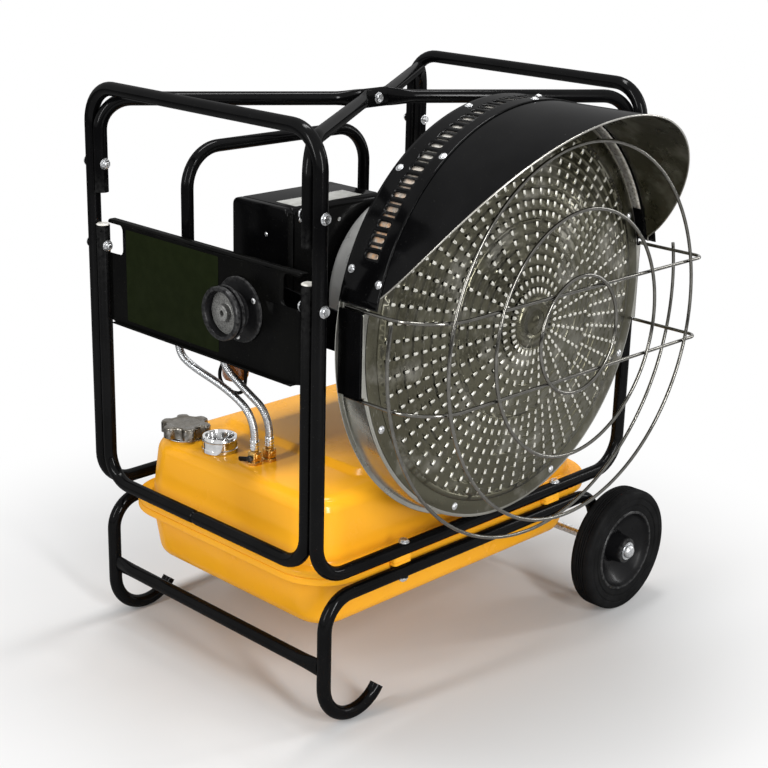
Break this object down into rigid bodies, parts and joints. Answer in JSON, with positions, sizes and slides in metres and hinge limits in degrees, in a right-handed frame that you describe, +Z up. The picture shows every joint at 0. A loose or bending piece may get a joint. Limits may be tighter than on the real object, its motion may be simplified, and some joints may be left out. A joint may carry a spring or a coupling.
{
  "type": "infrared heater",
  "caption": "Mobile oil-fired infrared heater: round louvred dish with hood and wire guard that tilts in a tubular wheeled cage over a clamped fuel tank.",
  "frame": {"origin": "Ground level under the middle of the cage, halfway between the two cage sides and the two ends.", "axes": "+Z up; -Y is the way the dish faces; +X runs to the wheels, -X to the side plate with the tilt knob."},
  "size_m": [0.868, 0.847, 0.9555],
  "materials": {
    "black_enamel": "gloss",
    "orange_tank": "gloss",
    "stainless": "satin",
    "pale_drum": "satin",
    "zinc_steel": "satin",
    "bright_metal": "polished",
    "guard_chrome": "polished",
    "cap_metal": "satin",
    "brass": "satin",
    "braided_hose": "braided",
    "olive_black": "satin",
    "black_plastic": "satin",
    "white_plastic": "satin",
    "motor_grey": "satin",
    "amber_bowl": "gloss",
    "lead_rubber": "matte",
    "knob_floor": "granular",
    "tyre_rubber": "matte",
    "float_plastic": "matte",
    "fan_metal": "satin"
  },
  "bodies": {
    "frame": {"cage_tube_near": "black_enamel", "cage_tube_far": "black_enamel", "end_hoop": "black_enamel", "hoop_end_plugs": "white_plastic", "top_bar_near": "black_enamel", "top_bar_far": "black_enamel", "cage_bolts": "zinc_steel", "base_rail_near": "black_enamel", "base_rail_far": "black_enamel", "base_cross_tube": "black_enamel", "tank_clamp_bolts": "zinc_steel", "axle": "zinc_steel", "axle_washers": "zinc_steel", "axle_caps": "zinc_steel", "tank_upper": "orange_tank", "tank_lower": "orange_tank", "filler_neck": "zinc_steel", "fuel_gauge": "bright_metal", "supply_fitting": "brass", "return_fitting": "brass", "hose_ferrules": "bright_metal", "fuel_hose_supply": "braided_hose", "fuel_hose_return": "braided_hose", "side_plate": "olive_black", "pivot_flange": "black_plastic", "pivot_flange_screws": "zinc_steel", "support_plate_right": "olive_black"},
    "head": {"side_arm_left": "black_enamel", "side_arm_right": "black_enamel", "burner_tray": "black_enamel", "handle": "black_enamel", "dish_pan": "stainless", "louvre_disc": "stainless", "hood_band": "black_enamel", "hood_visor": "stainless", "dish_screws": "zinc_steel", "guard_wires": "guard_chrome", "guard_rings": "guard_chrome", "drum_shell": "pale_drum", "blower_casing": "black_plastic", "burner_motor": "motor_grey", "control_box_cover": "black_enamel", "control_box_base": "black_enamel", "fuel_pump": "amber_bowl", "pump_lead": "lead_rubber", "fuel_filter": "bright_metal"},
    "knob": {"tilt_knob": "black_plastic", "knob_insert": "knob_floor"},
    "wheel_near": {"tyre_near": "tyre_rubber", "rim_near": "black_plastic"},
    "wheel_far": {"tyre_far": "tyre_rubber", "rim_far": "black_plastic"},
    "cap": {"fuel_cap": "cap_metal"},
    "cock": {"fuel_cock_lever": "black_plastic"},
    "float": {"gauge_float": "float_plastic"},
    "fan": {"blower_fan": "fan_metal"}
  },
  "joints": [
    {"name": "head_tilt", "type": "hinge", "parent": "frame", "child": "head", "pos_m": [0, -0.097, 0.646], "axis": [-1, 0, 0], "range_deg": [0, 20], "deforming": ["fuel_hose_supply", "fuel_hose_return"]},
    {"name": "tilt_knob_turn", "type": "hinge", "parent": "frame", "child": "knob", "pos_m": [-0.39, -0.097, 0.646], "axis": [-1, 0, 0], "continuous": true},
    {"name": "wheel_near_spin", "type": "hinge", "parent": "frame", "child": "wheel_near", "pos_m": [0.344, -0.303, 0.112], "axis": [0, 1, 0], "continuous": true},
    {"name": "wheel_far_spin", "type": "hinge", "parent": "frame", "child": "wheel_far", "pos_m": [0.344, 0.303, 0.112], "axis": [0, 1, 0], "continuous": true},
    {"name": "fuel_cap_turn", "type": "hinge", "parent": "frame", "child": "cap", "pos_m": [-0.273, 0.16, 0.365], "axis": [0, 0, 1], "range_deg": [0, 360]},
    {"name": "fuel_cock_turn", "type": "hinge", "parent": "frame", "child": "cock", "pos_m": [-0.2845, -0.014, 0.361], "axis": [1, 0, 0], "range_deg": [0, 90]},
    {"name": "gauge_float_slide", "type": "slide", "parent": "frame", "child": "float", "axis": [0, 0, 1], "range_m": [-0.012, 0.03]},
    {"name": "blower_fan_spin", "type": "hinge", "parent": "head", "child": "fan", "pos_m": [0.03, 0.03, 0.616], "axis": [1, 0, 0], "continuous": true}
  ]
}
